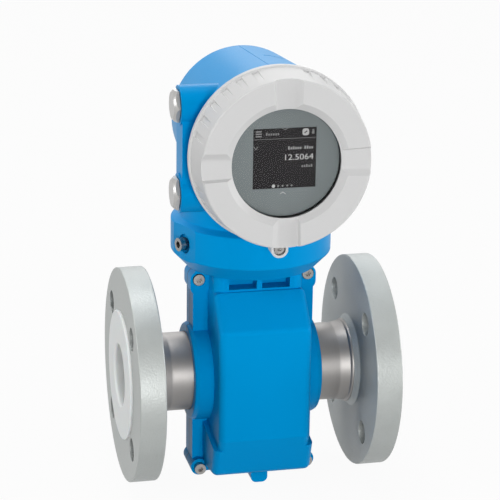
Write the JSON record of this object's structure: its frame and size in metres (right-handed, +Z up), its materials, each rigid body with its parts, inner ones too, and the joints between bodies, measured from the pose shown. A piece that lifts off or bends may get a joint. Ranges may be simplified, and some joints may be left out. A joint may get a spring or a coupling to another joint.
{
  "type": "electromagnetic flow meter",
  "caption": "Electromagnetic flow meter: flanged lined tube in a split cast sensor housing, with a turning transmitter head and a round screw-on display cover.",
  "frame": {"origin": "on the pipe axis at mid length of the meter", "axes": "+X along the pipe from the inlet flange to the outlet flange, -Y towards the display, +Z up towards the transmitter head"},
  "size_m": [0.204, 0.1941, 0.3394],
  "materials": {
    "blue_paint": "satin powder coat on die-cast aluminium",
    "cover_paint": "light grey powder coat on die-cast aluminium",
    "flange_paint": "matt grey protective coat on steel",
    "tube_steel": "fine turned stainless steel",
    "screw_steel": "bright stainless steel",
    "plug_nickel": "nickel plated brass",
    "neck_aluminium": "turned aluminium",
    "liner": "white fluoropolymer",
    "white_plastic": "moulded",
    "black_plastic": "moulded",
    "green_plastic": "moulded",
    "fascia_plastic": "moulded, fine matt",
    "screen_glass": "display window",
    "window_glass": "clear polished",
    "seal_rubber": "moulded",
    "winding": "enamelled copper wire",
    "core_iron": "soft iron"
  },
  "bodies": {
    "sensor": {"measuring_tube": "tube_steel", "inlet_flange": "flange_paint", "outlet_flange": "flange_paint", "weld_beads": "tube_steel", "tube_liner": "liner", "electrode_front": "screw_steel", "electrode_rear": "screw_steel", "electrode_sleeves": "white_plastic", "electrode_nuts": "screw_steel", "coil_upper": "winding", "coil_lower": "winding", "pole_core_upper": "core_iron", "pole_core_lower": "core_iron", "magnet_yoke": "core_iron", "shell_front": "blue_paint", "shell_rear": "blue_paint", "shell_gasket": "seal_rubber", "shell_screws": "screw_steel", "tube_seals": "seal_rubber", "neck_ring": "neck_aluminium", "neck_seal": "seal_rubber"},
    "transmitter": {"transmitter_housing": "blue_paint", "collar_screws": "screw_steel", "cable_plug_upper": "plug_nickel", "cable_plug_lower": "plug_nickel", "plug_seals": "seal_rubber", "electronics_module": "black_plastic", "module_screws": "screw_steel", "terminal_block": "green_plastic", "display_carrier": "white_plastic", "display_housing": "black_plastic", "display_fascia": "fascia_plastic", "display_screen": "screen_glass"},
    "cover_slide": {"cover_seal": "seal_rubber"},
    "cover": {"cover_ring": "cover_paint", "cover_window": "window_glass", "window_seal": "seal_rubber", "window_retainer": "neck_aluminium", "cover_lock_screw": "screw_steel"}
  },
  "joints": [
    {"name": "transmitter_turn", "type": "hinge", "parent": "sensor", "child": "transmitter", "pos_m": [0, 0, 0.1], "axis": [0, 0, 1], "range_deg": [-180, 180]},
    {"name": "cover_travel", "type": "slide", "parent": "transmitter", "child": "cover_slide", "axis": [0, -1, 0], "range_m": [0, 0.01]},
    {"name": "cover_turn", "type": "hinge", "parent": "cover_slide", "child": "cover", "pos_m": [0, -0.095, 0.1915], "axis": [0, -1, 0], "range_deg": [0, 1800]}
  ],
  "couplings": [
    {"joint": "cover_travel", "follows": "cover_turn", "m_per_rad": 0.00031831}
  ]
}
